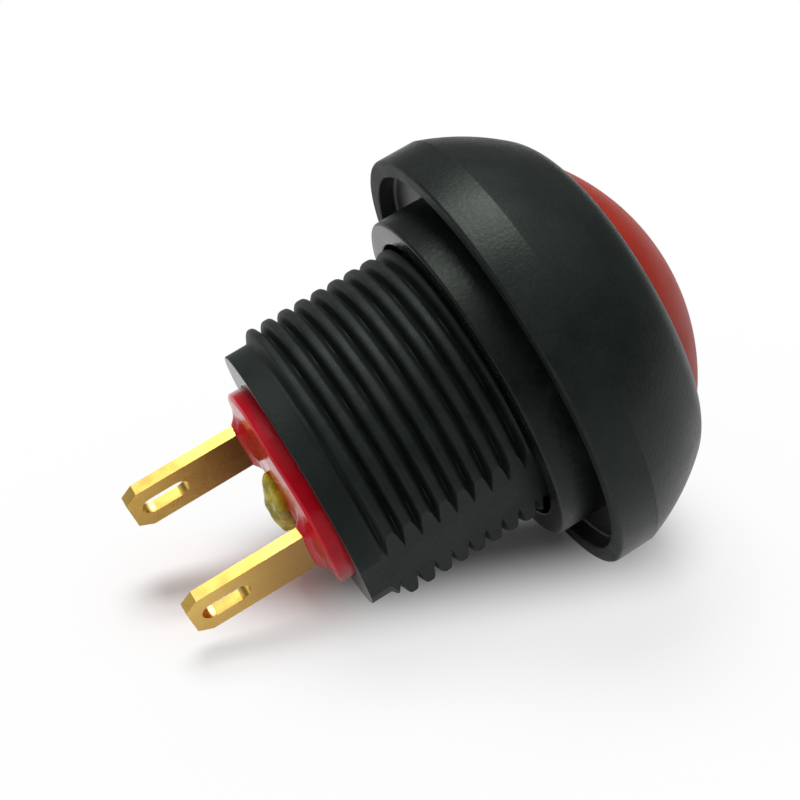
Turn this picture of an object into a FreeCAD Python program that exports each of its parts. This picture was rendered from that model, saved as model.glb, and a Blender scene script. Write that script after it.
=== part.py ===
import FreeCAD, Part
import math
import operator
import os
from types import SimpleNamespace

import Sketcher

# Panel-mount momentary pushbutton switch with a domed head and solder lugs.
# The origin is the centre of the panel seat, under the rim. +Z runs out through the button.
# Driving dimensions in millimetres: alias, number, meaning.
DIMENSIONS = (
    ("head_radius", "9.0", "outside of the head at its rim"),
    ("skirt_height", "1.63", "straight skirt, from the rim to the dome"),
    ("skirt_draft", "0.02", "radius that the skirt loses over its height"),
    ("dome_crown", "6.485", "height of the whole dome's sphere above the skirt"),
    ("lip_radius", "2.15", "rounding of the dome towards the opening"),
    ("lip_drop", "0.25", "how far the lip's edge lies under the dome's sphere"),
    ("opening_radius", "6.5", "well that the cap slides in"),
    ("groove_room", "1.325", "gap in the groove outside the gasket"),
    ("groove_depth", "0.8", "depth of the gasket groove above the seat"),
    ("head_web", "1.1", "web between the gasket groove and the well"),
    ("thread_radius", "5.92", "crests of the barrel's thread"),
    ("thread_depth", "0.44", "from the crests to the roots"),
    ("neck_length", "1.2", "plain neck below the seat"),
    ("thread_runout", "0.15", "slope at each end of the thread"),
    ("lead_in_length", "0.84", "plain lead-in at the barrel's end"),
    ("barrel_length", "8.72", "from the seat to the barrel's end"),
    ("end_chamfer", "0.04", "chamfer round the barrel's end"),
    ("barrel_flat", "5.38", "flat along the barrel, from the axis"),
    ("end_bore_radius", "4.2", "bore for the terminal base and the potting"),
    ("cavity_radius", "4.0", "bore round the contacts"),
    ("potting_fill", "0.72", "resin between the terminal base and the barrel's end"),
    ("base_thickness", "1.05", "terminal base"),
    ("base_clearance", "0.05", "terminal base in its bore"),
    ("pocket_radius", "4.7", "outside of the return spring's pocket"),
    ("pocket_depth", "0.5", "floor of the spring's pocket below the seat"),
    ("pocket_web", "1.1", "web under the spring's pocket"),
    ("guide_radius", "3.2", "outside of the stem's guide"),
    ("guide_height", "3.0", "top of the guide above the seat"),
    ("seal_radius", "2.8", "pocket for the stem's seal"),
    ("seal_height", "1.0", "stem seal"),
    ("retainer_height", "0.7", "ring that closes the seal's pocket"),
    ("seal_clearance", "0.03", "seal and retainer in their pocket"),
    ("stem_radius", "1.8", "stem in its guide"),
    ("stem_clearance", "0.05", "stem to guide"),
    ("cap_clearance", "0.15", "cap to well"),
    ("cap_set", "0.19", "edge of the cap below the lip's edge"),
    ("cap_crown", "2.72", "height of the cap's dome above its edge"),
    ("cap_wall", "1.2", "cap's skirt and shell"),
    ("cap_boss_radius", "2.3", "boss round the stem's spigot"),
    ("spring_seat_radius", "3.2", "inner edge of the spring's seat under the cap"),
    ("core_height", "1.1", "moulded hollow between the boss and the spring's seat"),
    ("spigot_radius", "1.3", "top of the stem, pressed into the cap"),
    ("spigot_length", "1.4", "depth of the spigot in the cap"),
    ("spigot_clearance", "0.02", "spigot in its socket"),
    ("travel", "1.8", "stroke of the button"),
    ("press_clearance", "0.1", "room left under the cap at full stroke"),
    ("stop_clearance", "0.04", "stop clip to the ceiling above it"),
    ("stop_clip_thickness", "0.4", "stop clip"),
    ("stop_clip_radius", "3.0", "outside of the stop clip"),
    ("clip_bite", "0.4", "depth of the clips' grooves"),
    ("clip_clearance", "0.02", "clips in their grooves"),
    ("clip_angle", "300", "turn of the open clips, in degrees"),
    ("shoulder_length", "0.56", "stem below the stop clip"),
    ("pin_radius", "1.0", "pin that carries the contact disc"),
    ("pin_tail", "0.25", "end of the pin below its clip"),
    ("disc_clip_thickness", "0.35", "clip under the contact disc"),
    ("disc_clip_radius", "1.5", "outside of that clip"),
    ("disc_radius", "3.7", "contact disc"),
    ("disc_thickness", "0.35", "contact disc"),
    ("disc_clearance", "0.05", "contact disc on its pin"),
    ("contact_gap", "1.2", "open gap of the contacts"),
    ("touch_clearance", "0.02", "gap that is left at full stroke"),
    ("contact_height", "0.5", "head of a fixed contact"),
    ("contact_radius", "0.45", "head of a fixed contact"),
    ("contact_bevel", "0.15", "bevelled edge of a fixed contact"),
    ("shank_radius", "0.3", "rivet shank of a fixed contact"),
    ("shank_clearance", "0.01", "rivet shank in its hole"),
    ("contact_shift", "0.52", "fixed contact outside the middle of its blade"),
    ("lug_spacing", "5.36", "between the middles of the two blades"),
    ("blade_thickness", "0.5", "sheet of the lugs"),
    ("blade_width", "2.42", "width of the lugs"),
    ("lug_reach", "6.1", "lug tips beyond the barrel's end"),
    ("foot_length", "0.75", "foot of a lug outside its blade"),
    ("blade_clearance", "0.03", "blades in the terminal base"),
    ("wire_slot_length", "2.05", "oblong slot for the wire"),
    ("wire_slot_width", "0.95", "oblong slot for the wire"),
    ("wire_slot_margin", "0.45", "between the slot and the tip"),
    ("tip_chamfer_across", "0.42", "tip corners, across the blade"),
    ("tip_chamfer_along", "0.55", "tip corners, along the blade"),
    ("tail_room", "0.3", "room round the pin's tail in the terminal base"),
    ("potting_gap", "0.01", "resin to what it grips"),
    ("potting_side", "0.48", "resin's straight side beyond the barrel's end"),
    ("potting_bevel_across", "0.15", "resin's shoulder, across"),
    ("potting_bevel_along", "0.1", "resin's shoulder, along the axis"),
    ("potting_crown", "0.3", "resin's low dome above its shoulder"),
    ("gasket_boss_radius", "6.02", "boss in the groove that centres the gasket"),
    ("gasket_boss_height", "0.7", "that boss, below the top of the groove"),
    ("gasket_width", "0.925", "gasket across its section"),
    ("gasket_proud", "1.19", "gasket below the seat"),
    ("gasket_clearance", "0.03", "gasket on its boss and under the top of the groove"),
    ("gasket_bevel", "0.12", "lower outer edge of the gasket"),
    ("return_wire", "0.45", "wire of the return spring"),
    ("return_turns", "4", "turns of the return spring"),
    ("contact_wire", "0.25", "wire of the contact spring"),
    ("contact_turns", "2.5", "turns of the contact spring"),
    ("contact_coil_radius", "1.5", "middle of the contact spring's wire"),
    ("spring_clearance", "0.02", "springs to their seats"),
)

SHEET = "Sizes"
# Numbers that a sketch gives to its own axes and to the points of a curve.
LINES = {name: -number for number, name in enumerate(("across axis", "up axis"), start=1)}
POINTS = {name: number for number, name in enumerate(("start", "end", "centre"), start=1)}
FULL_TURN = 360
OPERATIONS = {"+": operator.add, "-": operator.sub, "*": operator.mul, "/": operator.truediv}


class Size:
    """A length with its number and the sheet formula that gives it."""

    def __init__(self, number, formula):
        self.number = number
        self.formula = formula

    def __add__(self, other):
        return combine(self, "+", other)

    def __radd__(self, other):
        return combine(other, "+", self)

    def __sub__(self, other):
        return combine(self, "-", other)

    def __rsub__(self, other):
        return combine(other, "-", self)

    def __mul__(self, other):
        return combine(self, "*", other)

    def __rmul__(self, other):
        return combine(other, "*", self)

    def __truediv__(self, other):
        return combine(self, "/", other)

    def __neg__(self):
        return combine(0, "-", self)


def as_size(value):
    return value if isinstance(value, Size) else Size(value, str(value))


def combine(left, sign, right):
    left = as_size(left)
    right = as_size(right)
    number = OPERATIONS[sign](left.number, right.number)
    return Size(number, f"({left.formula} {sign} {right.formula})")


def root(size):
    return Size(math.sqrt(size.number), f"sqrt({size.formula})")


class Corner:
    """A corner of an outline, with the line or arc that leads to it.

    radius: the arc's radius, or None for a line. turn: 1 for an arc that turns left, -1 for right.
    smooth: the arc leaves the stretch before it without a kink. centred: its centre is on the axis.
    held: the sheet gives the corner's place. Otherwise the smooth join gives it.
    """

    def __init__(self, across, up, radius=None, turn=1, smooth=False, centred=False, held=True):
        self.across = as_size(across)
        self.up = as_size(up)
        self.radius = radius
        self.turn = turn
        self.smooth = smooth
        self.centred = centred
        self.held = held

    def point(self):
        return FreeCAD.Vector(self.across.number, self.up.number, 0)


document = FreeCAD.newDocument("PushbuttonSwitch")


def make_sheet():
    sheet = document.addObject("Spreadsheet::Sheet", SHEET)
    for row, (alias, number, meaning) in enumerate(DIMENSIONS, start=1):
        sheet.set(f"A{row}", meaning)
        sheet.set(f"B{row}", number)
        sheet.setAlias(f"B{row}", alias)
    document.recompute()
    sizes = {alias: Size(float(sheet.get(alias)), f"{SHEET}.{alias}") for alias, _, _ in DIMENSIONS}
    return SimpleNamespace(**sizes)


def new_body(label):
    body = document.addObject("PartDesign::Body", label)
    body.Label = label
    return body


def bind(item, path, size):
    item.setExpression(path, as_size(size).formula)


def new_sketch(body, name, plane, offset=None):
    sketch = body.newObject("Sketcher::SketchObject", f"{body.Label}_{name}")
    support = next(item for item in body.Origin.OriginFeatures if item.Role == plane)
    sketch.AttachmentSupport = (support, [""])
    sketch.MapMode = "FlatFace"
    if offset is not None:
        bind(sketch, "AttachmentOffset.Base.z", offset)
    return sketch


def add_dimension(sketch, kind, size, *where):
    index = sketch.addConstraint(Sketcher.Constraint(kind, *where, size.number))
    bind(sketch, f"Constraints[{index}]", size)


def hold_point(sketch, geometry, place, across, up):
    """Ties a point of the sketch to the sheet, or to an axis where it lies on one."""
    origin = (LINES["across axis"], POINTS["start"])
    for size, kind, axis in ((across, "DistanceX", "up axis"), (up, "DistanceY", "across axis")):
        if size.formula == "0":
            sketch.addConstraint(Sketcher.Constraint("PointOnObject", geometry, place, LINES[axis]))
        else:
            add_dimension(sketch, kind, size, *origin, geometry, place)


def arc_between(first, last, radius, turn):
    """The shorter arc from first to last, as the counter-clockwise arc that a sketch keeps."""
    chord = last - first
    half = chord.Length / 2
    rise = math.sqrt(max(radius * radius - half * half, 0.0))
    left = FreeCAD.Vector(-chord.y, chord.x, 0).normalize()
    centre = first + chord * 0.5 + left * (rise * turn)
    if turn < 0:
        first, last = last, first
    angles = [math.atan2(point.y - centre.y, point.x - centre.x) for point in (first, last)]
    circle = Part.Circle(centre, FreeCAD.Vector(0, 0, 1), radius)
    return Part.ArcOfCircle(circle, *angles)


def draw_outline(sketch, corners):
    """Draws a closed outline, with its corners and radii bound to the sheet."""
    start_to_end = (POINTS["start"], POINTS["end"])
    stretches = []
    for before, corner in zip([corners[-1]] + corners[:-1], corners):
        if corner.radius is None:
            shape = Part.LineSegment(before.point(), corner.point())
            ends = start_to_end
        else:
            shape = arc_between(before.point(), corner.point(), corner.radius.number, corner.turn)
            ends = start_to_end if corner.turn > 0 else start_to_end[::-1]
        stretches.append((sketch.addGeometry(shape), *ends))
    for position, corner in enumerate(corners):
        stretch, start, end = stretches[position]
        before, _, before_end = stretches[position - 1]
        join = "Tangent" if corner.smooth else "Coincident"
        sketch.addConstraint(Sketcher.Constraint(join, before, before_end, stretch, start))
        if corner.radius is not None:
            add_dimension(sketch, "Radius", corner.radius, stretch)
        if corner.centred:
            centre = (stretch, POINTS["centre"])
            sketch.addConstraint(Sketcher.Constraint("PointOnObject", *centre, LINES["up axis"]))
        if corner.held:
            hold_point(sketch, stretch, end, corner.across, corner.up)


def draw_circle(sketch, radius, across=0, up=0):
    centre = FreeCAD.Vector(as_size(across).number, as_size(up).number, 0)
    circle = sketch.addGeometry(Part.Circle(centre, FreeCAD.Vector(0, 0, 1), radius.number))
    add_dimension(sketch, "Radius", radius, circle)
    hold_point(sketch, circle, POINTS["centre"], as_size(across), as_size(up))


def box_corners(left, right, low, high):
    return [Corner(left, low), Corner(right, low), Corner(right, high), Corner(left, high)]


def revolve(body, corners, angle=FULL_TURN):
    sketch = new_sketch(body, "profile", "XZ_Plane")
    draw_outline(sketch, corners)
    turned = body.newObject("PartDesign::Revolution", f"{body.Label}_turned")
    turned.Profile = sketch
    turned.ReferenceAxis = (sketch, ["V_Axis"])
    bind(turned, "Angle", angle)
    return body


def pad(body, sketch, length):
    raised = body.newObject("PartDesign::Pad", f"{sketch.Name}_pad")
    raised.Profile = sketch
    bind(raised, "Length", length)


def pocket(body, sketch, depth):
    cut = body.newObject("PartDesign::Pocket", f"{sketch.Name}_cut")
    cut.Profile = sketch
    bind(cut, "Length", depth)


def coil(label, wire, radius, low, high, turns):
    """A square wire wound between two seats."""
    body = new_body(label)
    sketch = new_sketch(body, "wire", "XZ_Plane")
    half = wire / 2
    inset = half + d.spring_clearance
    start = low + d.spring_clearance
    draw_outline(sketch, box_corners(radius - half, radius + half, start, start + wire))
    wound = body.newObject("PartDesign::AdditiveHelix", f"{label}_wound")
    wound.Profile = sketch
    wound.ReferenceAxis = (sketch, ["V_Axis"])
    wound.Mode = "height-turns-angle"
    bind(wound, "Height", high - low - inset * 2)
    bind(wound, "Turns", turns)
    return body


def ring(label, inner, outer, low, high, angle=FULL_TURN):
    return revolve(new_body(label), box_corners(inner, outer, low, high), angle)


d = make_sheet()

# Levels and radii that several pieces share, worked out from the driving dimensions.
ROOT_RADIUS = d.thread_radius - d.thread_depth
SKIRT_TOP_RADIUS = d.head_radius - d.skirt_draft
DOME_RADIUS = (SKIRT_TOP_RADIUS * SKIRT_TOP_RADIUS + d.dome_crown * d.dome_crown) / (d.dome_crown * 2)
DOME_CENTRE = d.skirt_height + d.dome_crown - DOME_RADIUS
DOME_AT_OPENING = DOME_CENTRE + root(DOME_RADIUS * DOME_RADIUS - d.opening_radius * d.opening_radius)
LIP_EDGE = DOME_AT_OPENING - d.lip_drop
GASKET_BORE = d.gasket_boss_radius + d.gasket_clearance
GASKET_RADIUS = GASKET_BORE + d.gasket_width
GROOVE_RADIUS = GASKET_RADIUS + d.groove_room
WELL_FLOOR = d.groove_depth + d.head_web
CEILING = -(d.pocket_depth + d.pocket_web)
BARREL_END = -d.barrel_length
BASE_BOTTOM = BARREL_END + d.potting_fill
BASE_TOP = BASE_BOTTOM + d.base_thickness
GUIDE_BORE = d.stem_radius + d.stem_clearance
SEAL_FLOOR = d.guide_height - d.retainer_height - d.seal_height
CAP_RADIUS = d.opening_radius - d.cap_clearance
CAP_EDGE = LIP_EDGE - d.cap_set
CAP_DOME_RADIUS = (CAP_RADIUS * CAP_RADIUS + d.cap_crown * d.cap_crown) / (d.cap_crown * 2)
CAP_BOTTOM = WELL_FLOOR + d.travel + d.press_clearance
CAP_SEAT = d.guide_height + d.travel + d.press_clearance
FOOT_TOP = BASE_TOP + d.blade_thickness
CONTACT_TOP = FOOT_TOP + d.contact_height
DISC_BOTTOM = CONTACT_TOP + d.contact_gap + d.touch_clearance
DISC_TOP = DISC_BOTTOM + d.disc_thickness
STOP_CLIP_TOP = CEILING - d.stop_clearance
STOP_CLIP_BOTTOM = STOP_CLIP_TOP - d.stop_clip_thickness
SHOULDER = STOP_CLIP_BOTTOM - d.shoulder_length
DISC_CLIP_TOP = DISC_BOTTOM - d.clip_clearance
DISC_CLIP_BOTTOM = DISC_CLIP_TOP - d.disc_clip_thickness
PIN_END = DISC_CLIP_BOTTOM - d.pin_tail
BLADE_MIDDLE = d.lug_spacing / 2
CONTACT_PLACE = BLADE_MIDDLE + d.contact_shift
LUG_TIP = BARREL_END - d.lug_reach
HALF_WIDTH = d.blade_width / 2
SIDES = (("left", -1), ("right", 1))


def lip_join():
    """First guess of the point where the lip's rounding leaves the dome's sphere."""
    rise = LIP_EDGE.number - DOME_CENTRE.number
    reach = math.hypot(d.opening_radius.number, rise)
    inner = DOME_RADIUS.number - d.lip_radius.number
    cosine = (inner**2 + reach**2 - d.lip_radius.number**2) / (2 * inner * reach)
    angle = math.atan2(rise, d.opening_radius.number) - math.acos(min(cosine, 1.0))
    across = DOME_RADIUS.number * math.cos(angle)
    return across, DOME_CENTRE.number + DOME_RADIUS.number * math.sin(angle)


def make_housing():
    """Domed head, hollow rim, flatted barrel, spring pocket and stem guide, moulded as one piece."""
    body = new_body("housing")
    thread_top = -(d.neck_length + d.thread_runout)
    thread_end = BARREL_END + d.lead_in_length
    gasket_boss_end = d.groove_depth - d.gasket_boss_height
    revolve(body, [
        Corner(GUIDE_BORE, CEILING),
        Corner(GUIDE_BORE, SEAL_FLOOR),
        Corner(d.seal_radius, SEAL_FLOOR),
        Corner(d.seal_radius, d.guide_height),
        Corner(d.guide_radius, d.guide_height),
        Corner(d.guide_radius, -d.pocket_depth),
        Corner(d.pocket_radius, -d.pocket_depth),
        Corner(d.pocket_radius, WELL_FLOOR),
        Corner(d.opening_radius, WELL_FLOOR),
        Corner(d.opening_radius, LIP_EDGE),
        Corner(*lip_join(), radius=d.lip_radius, turn=-1, held=False),
        Corner(SKIRT_TOP_RADIUS, d.skirt_height, radius=DOME_RADIUS, turn=-1, smooth=True, centred=True),
        Corner(d.head_radius, 0),
        Corner(GROOVE_RADIUS, 0),
        Corner(GROOVE_RADIUS, d.groove_depth),
        Corner(d.gasket_boss_radius, d.groove_depth),
        Corner(d.gasket_boss_radius, gasket_boss_end),
        Corner(ROOT_RADIUS, gasket_boss_end),
        Corner(ROOT_RADIUS, -d.neck_length),
        Corner(d.thread_radius, thread_top),
        Corner(d.thread_radius, thread_end + d.thread_runout),
        Corner(ROOT_RADIUS, thread_end),
        Corner(ROOT_RADIUS, BARREL_END + d.end_chamfer),
        Corner(ROOT_RADIUS - d.end_chamfer, BARREL_END),
        Corner(d.end_bore_radius, BARREL_END),
        Corner(d.end_bore_radius, BASE_TOP),
        Corner(d.cavity_radius, BASE_TOP),
        Corner(d.cavity_radius, CEILING),
    ])
    flat = new_sketch(body, "flat", "XY_Plane", gasket_boss_end)
    reach = d.gasket_boss_radius
    half_chord = root(reach * reach - d.barrel_flat * d.barrel_flat)
    draw_outline(flat, box_corners(d.barrel_flat, reach, -half_chord, half_chord))
    pocket(body, flat, gasket_boss_end - BARREL_END)


def make_panel_gasket():
    """Rubber ring on the boss in the groove, with a bevel where it meets the panel."""
    low = -d.gasket_proud
    high = d.groove_depth - d.gasket_clearance
    revolve(new_body("panel_gasket"), [
        Corner(GASKET_BORE, low),
        Corner(GASKET_RADIUS - d.gasket_bevel, low),
        Corner(GASKET_RADIUS, low + d.gasket_bevel),
        Corner(GASKET_RADIUS, high),
        Corner(GASKET_BORE, high),
    ])


def make_button_cap():
    """Domed cap with a guiding skirt, a seat for the spring and a cored boss for the stem."""
    socket = d.spigot_radius + d.spigot_clearance
    socket_top = CAP_SEAT + d.spigot_length + d.spigot_clearance
    core_top = CAP_SEAT + d.core_height
    revolve(new_body("button_cap"), [
        Corner(0, socket_top),
        Corner(socket, socket_top),
        Corner(socket, CAP_SEAT),
        Corner(d.cap_boss_radius, CAP_SEAT),
        Corner(d.cap_boss_radius, core_top),
        Corner(d.spring_seat_radius, core_top),
        Corner(d.spring_seat_radius, CAP_SEAT),
        Corner(CAP_RADIUS - d.cap_wall, CAP_SEAT),
        Corner(CAP_RADIUS - d.cap_wall, CAP_BOTTOM),
        Corner(CAP_RADIUS, CAP_BOTTOM),
        Corner(CAP_RADIUS, CAP_EDGE),
        Corner(0, CAP_EDGE + d.cap_crown, radius=CAP_DOME_RADIUS),
    ])


def make_plunger_stem():
    """Turned stem: spigot, guide length, groove for the stop clip, and the contact disc's pin."""
    stop_groove = d.stem_radius - d.clip_bite
    disc_groove = d.pin_radius - d.clip_bite
    revolve(new_body("plunger_stem"), [
        Corner(0, PIN_END),
        Corner(d.pin_radius, PIN_END),
        Corner(d.pin_radius, DISC_CLIP_BOTTOM - d.clip_clearance),
        Corner(disc_groove, DISC_CLIP_BOTTOM - d.clip_clearance),
        Corner(disc_groove, DISC_BOTTOM),
        Corner(d.pin_radius, DISC_BOTTOM),
        Corner(d.pin_radius, SHOULDER),
        Corner(d.stem_radius, SHOULDER),
        Corner(d.stem_radius, STOP_CLIP_BOTTOM - d.clip_clearance),
        Corner(stop_groove, STOP_CLIP_BOTTOM - d.clip_clearance),
        Corner(stop_groove, STOP_CLIP_TOP + d.clip_clearance),
        Corner(d.stem_radius, STOP_CLIP_TOP + d.clip_clearance),
        Corner(d.stem_radius, CAP_SEAT),
        Corner(d.spigot_radius, CAP_SEAT),
        Corner(d.spigot_radius, CAP_SEAT + d.spigot_length),
        Corner(0, CAP_SEAT + d.spigot_length),
    ])


def make_stem_rings():
    """Seal and retainer in the guide, and the two open clips on the stem."""
    gap = d.seal_clearance
    seal_top = SEAL_FLOOR + d.seal_height
    inner = d.stem_radius + gap
    outer = d.seal_radius - gap
    ring("stem_seal", inner, outer, SEAL_FLOOR + gap, seal_top)
    ring("seal_retainer", GUIDE_BORE, outer, seal_top, d.guide_height)
    stop_inner = d.stem_radius - d.clip_bite + d.clip_clearance
    ring("stop_clip", stop_inner, d.stop_clip_radius, STOP_CLIP_BOTTOM, STOP_CLIP_TOP, d.clip_angle)
    disc_inner = d.pin_radius - d.clip_bite + d.clip_clearance
    ring("disc_clip", disc_inner, d.disc_clip_radius, DISC_CLIP_BOTTOM, DISC_CLIP_TOP, d.clip_angle)


def make_contact_disc():
    hole = d.pin_radius + d.disc_clearance
    ring("contact_disc", hole, d.disc_radius, DISC_BOTTOM, DISC_TOP)


def make_springs():
    return_radius = (d.guide_radius + d.pocket_radius) / 2
    coil("return_spring", d.return_wire, return_radius, -d.pocket_depth, CAP_SEAT, d.return_turns)
    coil("contact_spring", d.contact_wire, d.contact_coil_radius, DISC_TOP, SHOULDER, d.contact_turns)


def blade_opening(sketch, side, gap):
    """A hole for one blade, with an even gap round it."""
    middle = BLADE_MIDDLE * side
    half = d.blade_thickness / 2 + gap
    wide = HALF_WIDTH + gap
    draw_outline(sketch, box_corners(middle - half, middle + half, -wide, wide))


def make_terminal_base():
    """Insulating disc with a slot for each blade and a hollow for the pin's tail."""
    body = new_body("terminal_base")
    disc = new_sketch(body, "disc", "XY_Plane", BASE_BOTTOM)
    draw_circle(disc, d.end_bore_radius - d.base_clearance)
    for _, side in SIDES:
        blade_opening(disc, side, d.blade_clearance)
    pad(body, disc, d.base_thickness)
    hollow = new_sketch(body, "hollow", "XY_Plane", BASE_TOP)
    draw_circle(hollow, d.pin_radius + d.tail_room)
    pocket(body, hollow, BASE_TOP - PIN_END + d.travel + d.press_clearance)


def make_terminal(word, side):
    """Flat lug: a blade with an oblong wire slot and chamfered tip, and a foot bent outwards."""
    body = new_body(f"terminal_{word}")
    face = new_sketch(body, "face", "YZ_Plane", BLADE_MIDDLE * side - d.blade_thickness / 2)
    narrow = HALF_WIDTH - d.tip_chamfer_across
    chamfer_end = LUG_TIP + d.tip_chamfer_along
    draw_outline(face, [
        Corner(-narrow, LUG_TIP),
        Corner(narrow, LUG_TIP),
        Corner(HALF_WIDTH, chamfer_end),
        Corner(HALF_WIDTH, FOOT_TOP),
        Corner(-HALF_WIDTH, FOOT_TOP),
        Corner(-HALF_WIDTH, chamfer_end),
    ])
    slot_low = LUG_TIP + d.wire_slot_margin
    slot_high = slot_low + d.wire_slot_length
    bend = d.wire_slot_width / 2
    draw_outline(face, [
        Corner(bend, slot_high - bend),
        Corner(0, slot_high, radius=bend),
        Corner(-bend, slot_high - bend, radius=bend),
        Corner(-bend, slot_low + bend),
        Corner(0, slot_low, radius=bend),
        Corner(bend, slot_low + bend, radius=bend),
    ])
    pad(body, face, d.blade_thickness)
    foot = new_sketch(body, "foot", "XY_Plane", BASE_TOP)
    edges = (BLADE_MIDDLE * side, (BLADE_MIDDLE + d.blade_thickness / 2 + d.foot_length) * side)
    left, right = edges if side > 0 else edges[::-1]
    draw_outline(foot, box_corners(left, right, -HALF_WIDTH, HALF_WIDTH))
    pad(body, foot, d.blade_thickness)
    rivet_hole = new_sketch(body, "rivet_hole", "XY_Plane", FOOT_TOP)
    draw_circle(rivet_hole, d.shank_radius + d.shank_clearance, CONTACT_PLACE * side)
    pocket(body, rivet_hole, d.blade_thickness)


def make_fixed_contact(word, side):
    """Rivet with a bevelled head, set through the foot of a lug."""
    body = new_body(f"fixed_contact_{word}")
    bevel = d.contact_bevel
    revolve(body, [
        Corner(0, BASE_TOP),
        Corner(d.shank_radius, BASE_TOP),
        Corner(d.shank_radius, FOOT_TOP),
        Corner(d.contact_radius, FOOT_TOP),
        Corner(d.contact_radius, CONTACT_TOP - bevel),
        Corner(d.contact_radius - bevel, CONTACT_TOP),
        Corner(0, CONTACT_TOP),
    ])
    bind(body, "Placement.Base.x", CONTACT_PLACE * side)


def make_potting():
    """Resin that closes the barrel, with a sloping shoulder and a low dome, open round the blades."""
    body = new_body("potting")
    side_radius = d.end_bore_radius - d.potting_gap
    side_end = BARREL_END - d.potting_side
    crown_edge = side_end - d.potting_bevel_along
    apex = crown_edge - d.potting_crown
    flat = side_radius - d.potting_bevel_across
    crown_radius = (flat * flat + d.potting_crown * d.potting_crown) / (d.potting_crown * 2)
    revolve(body, [
        Corner(0, apex),
        Corner(flat, crown_edge, radius=crown_radius),
        Corner(side_radius, side_end),
        Corner(side_radius, BASE_BOTTOM),
        Corner(0, BASE_BOTTOM),
    ])
    openings = new_sketch(body, "openings", "XY_Plane", BASE_BOTTOM)
    for _, side in SIDES:
        blade_opening(openings, side, d.potting_gap)
    pocket(body, openings, BASE_BOTTOM - apex + d.press_clearance)


def check_document():
    for item in document.Objects:
        if {"Invalid", "Error"} & set(item.State):
            raise RuntimeError(f"{item.Label} failed: {item.State}")


def write_parts():
    bodies = [item for item in document.Objects if item.TypeId == "PartDesign::Body"]
    for body in bodies:
        if body.Shape.isNull() or not body.Shape.isValid():
            raise RuntimeError(f"{body.Label} has no valid shape")
    os.makedirs("parts", exist_ok=True)
    for body in bodies:
        body.Shape.exportStep(os.path.join("parts", f"{body.Label}.step"))
        print(f"{body.Label}: {len(body.Shape.Solids)} solid, {body.Shape.Volume:.2f} mm3")


make_housing()
make_panel_gasket()
make_button_cap()
make_plunger_stem()
make_stem_rings()
make_contact_disc()
make_springs()
make_terminal_base()
for word, side in SIDES:
    make_terminal(word, side)
    make_fixed_contact(word, side)
make_potting()
document.recompute()
check_document()
write_parts()
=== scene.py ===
import math

import bmesh
import bpy
from mathutils import Matrix, Vector


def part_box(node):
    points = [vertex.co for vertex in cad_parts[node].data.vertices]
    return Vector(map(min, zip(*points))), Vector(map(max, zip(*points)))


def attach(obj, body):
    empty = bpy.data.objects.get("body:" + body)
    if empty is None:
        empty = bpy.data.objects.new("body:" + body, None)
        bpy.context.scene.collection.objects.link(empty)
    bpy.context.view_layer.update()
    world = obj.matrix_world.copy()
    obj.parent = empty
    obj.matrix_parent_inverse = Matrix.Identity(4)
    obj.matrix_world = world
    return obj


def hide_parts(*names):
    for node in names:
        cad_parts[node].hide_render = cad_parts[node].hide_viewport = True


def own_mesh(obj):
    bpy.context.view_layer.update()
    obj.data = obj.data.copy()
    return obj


# Looks of a panel-mount pushbutton switch: thread, soft edges, resin, finishes, stage and light.
# Lengths are in millimetres, in the part's own frame, until a mesh, shader, lamp or camera takes them.
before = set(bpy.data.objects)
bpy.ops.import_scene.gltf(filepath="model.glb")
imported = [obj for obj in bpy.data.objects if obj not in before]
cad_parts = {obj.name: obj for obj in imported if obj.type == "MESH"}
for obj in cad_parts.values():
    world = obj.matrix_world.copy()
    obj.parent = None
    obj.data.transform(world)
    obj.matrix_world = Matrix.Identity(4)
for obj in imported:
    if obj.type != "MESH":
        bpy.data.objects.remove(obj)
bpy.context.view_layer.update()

MM = 0.001
TURN = 2 * math.pi


def box_mm(node):
    low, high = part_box(node)
    return low / MM, high / MM


# Sizes read from the solids
HOUSING_LOW, HOUSING_HIGH = box_mm("housing")
GASKET_LOW, GASKET_HIGH = box_mm("panel_gasket")
CAP_LOW, CAP_HIGH = box_mm("button_cap")
POTTING_LOW, POTTING_HIGH = box_mm("potting")
LUG_LOW, LUG_HIGH = box_mm("terminal_right")
RETURN_LOW, RETURN_HIGH = box_mm("return_spring")
DISC_SPRING_LOW, DISC_SPRING_HIGH = box_mm("contact_spring")
BASE_TOP = box_mm("terminal_base")[1].z
GUIDE_TOP = box_mm("seal_retainer")[1].z
SEAL_BOTTOM = box_mm("stem_seal")[0].z

HEAD_RADIUS = HOUSING_HIGH.x
BARREL_END = HOUSING_LOW.z
GASKET_RADIUS = GASKET_HIGH.x
CAP_RADIUS = CAP_HIGH.x
CAP_TOP = CAP_HIGH.z
CAP_BOTTOM = CAP_LOW.z
RESIN_RADIUS = POTTING_HIGH.x
RESIN_TOP = POTTING_HIGH.z
RESIN_END = POTTING_LOW.z
BLADE_HALF_WIDTH = LUG_HIGH.y

# Blades of the lugs
BLADE_HALF_THICK = 0.25
BLADE_PLACE = LUG_LOW.x + BLADE_HALF_THICK

# Head of the housing
PANEL_SEAT = 0.0
SKIRT_HEIGHT = 1.63
SKIRT_DRAFT = 0.02
DOME_CROWN = 6.485
LIP_ROUND = 2.15
LIP_DROP = 0.25
OPENING_RADIUS = 6.5
GROOVE_RADIUS = 8.3
GROOVE_DEPTH = 0.8
GASKET_BOSS = 6.02
GASKET_BOSS_END = 0.1
GASKET_BORE = 6.05
WELL_FLOOR = 1.9

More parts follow.
